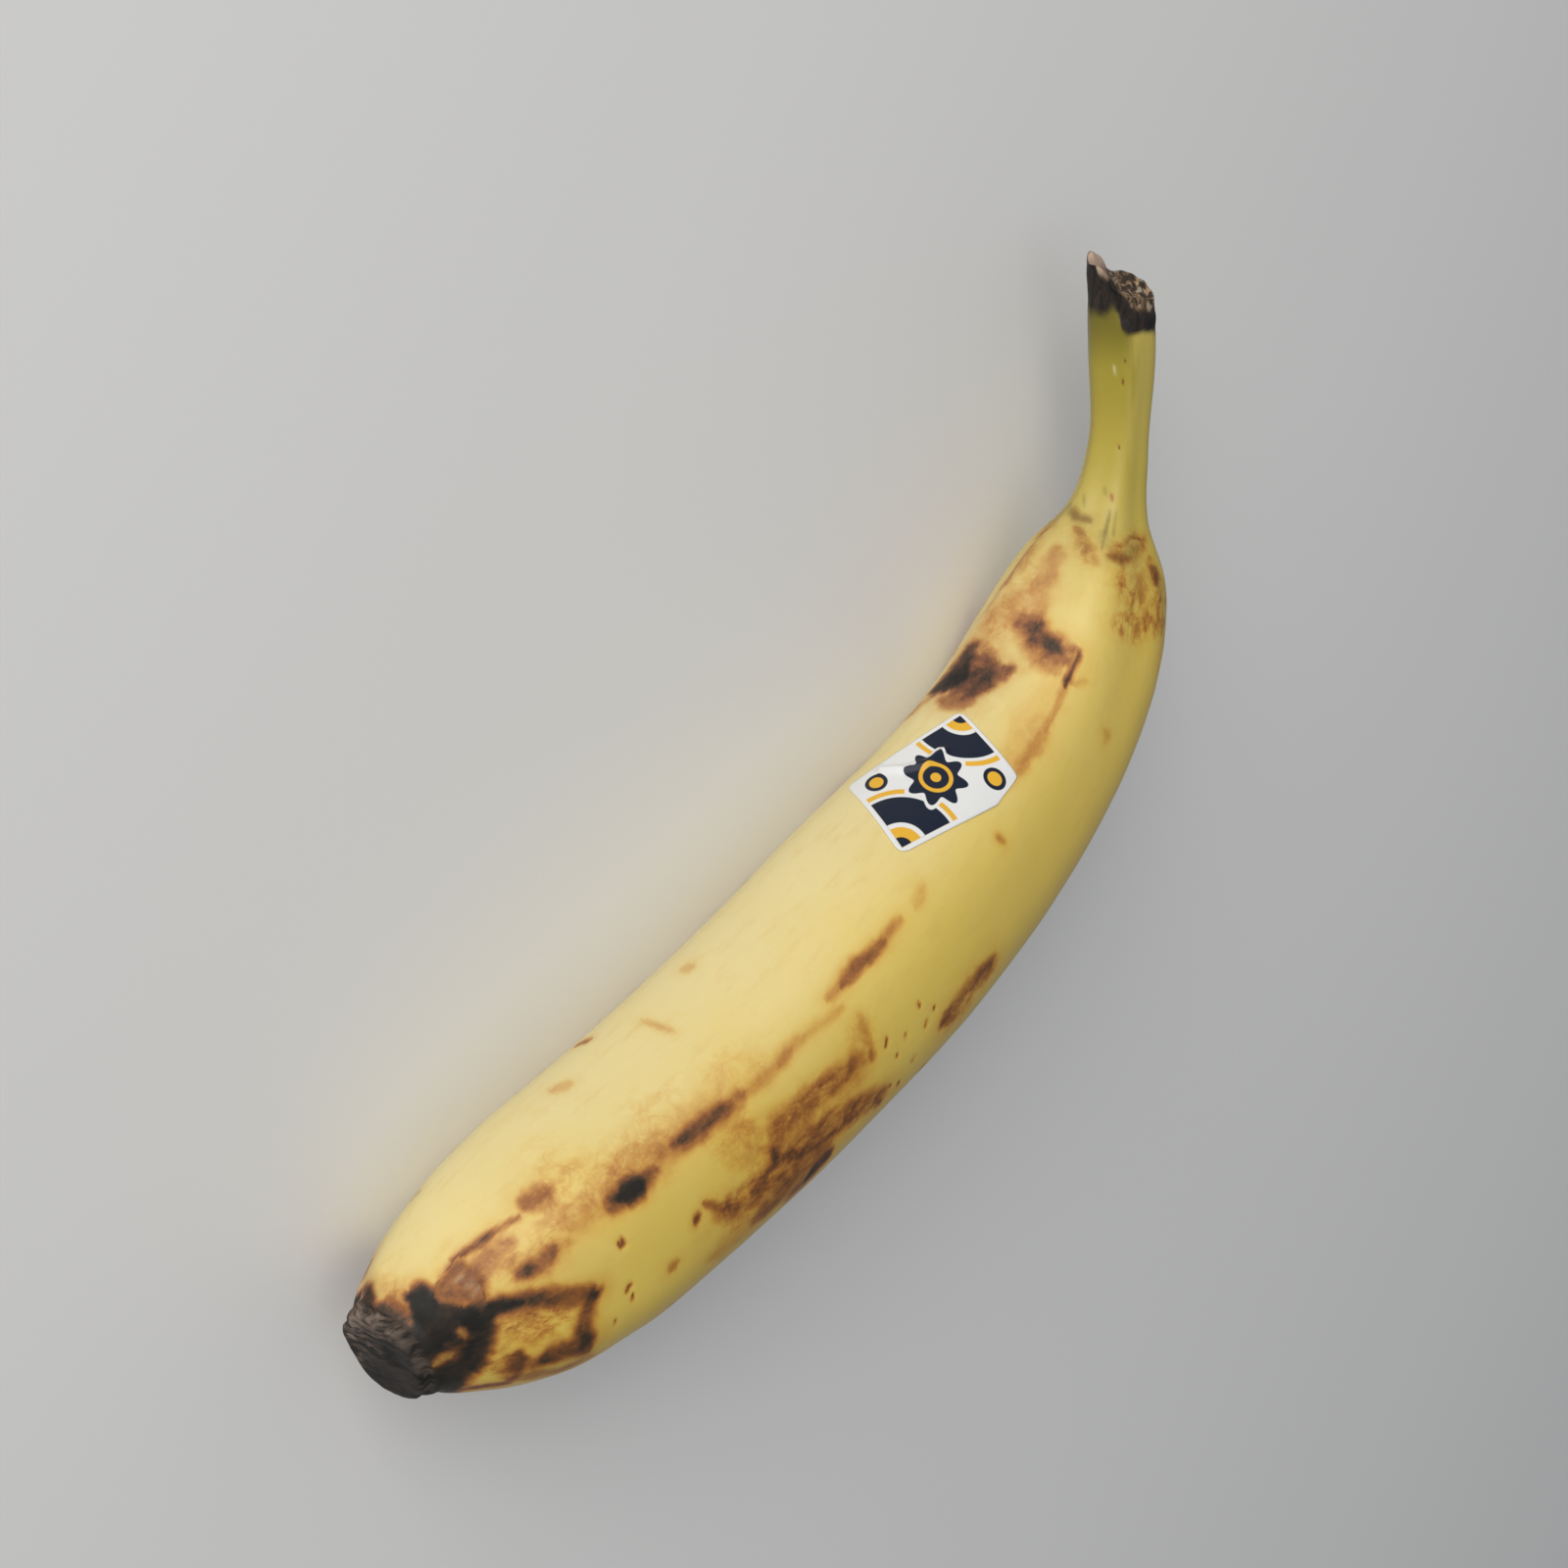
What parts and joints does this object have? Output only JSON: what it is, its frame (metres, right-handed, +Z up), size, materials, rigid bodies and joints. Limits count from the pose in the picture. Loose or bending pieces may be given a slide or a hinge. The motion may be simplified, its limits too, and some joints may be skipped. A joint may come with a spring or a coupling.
{
  "type": "banana",
  "caption": "Ripe banana lying on its side, curved towards a slim torn stalk, with bruised peel, a dark blunt blossom end and a small plain fruit label.",
  "frame": {"origin": "on the table, under the middle of the fruit's bounding box", "axes": "+X from the blossom end towards the stalk, +Y towards the inside of the bend, +Z up from the table the fruit lies on"},
  "size_m": [0.1888, 0.078, 0.0366],
  "materials": {
    "peel": "smooth waxy satin peel, yellow with brown bruises and streaks, black at the blossom end and at the torn stalk",
    "label_paper": "semi-gloss coated label paper, off-white with a printed dark blue and yellow pattern"
  },
  "bodies": {
    "root": {"banana": "peel", "label": "label_paper"}
  },
  "joints": []
}
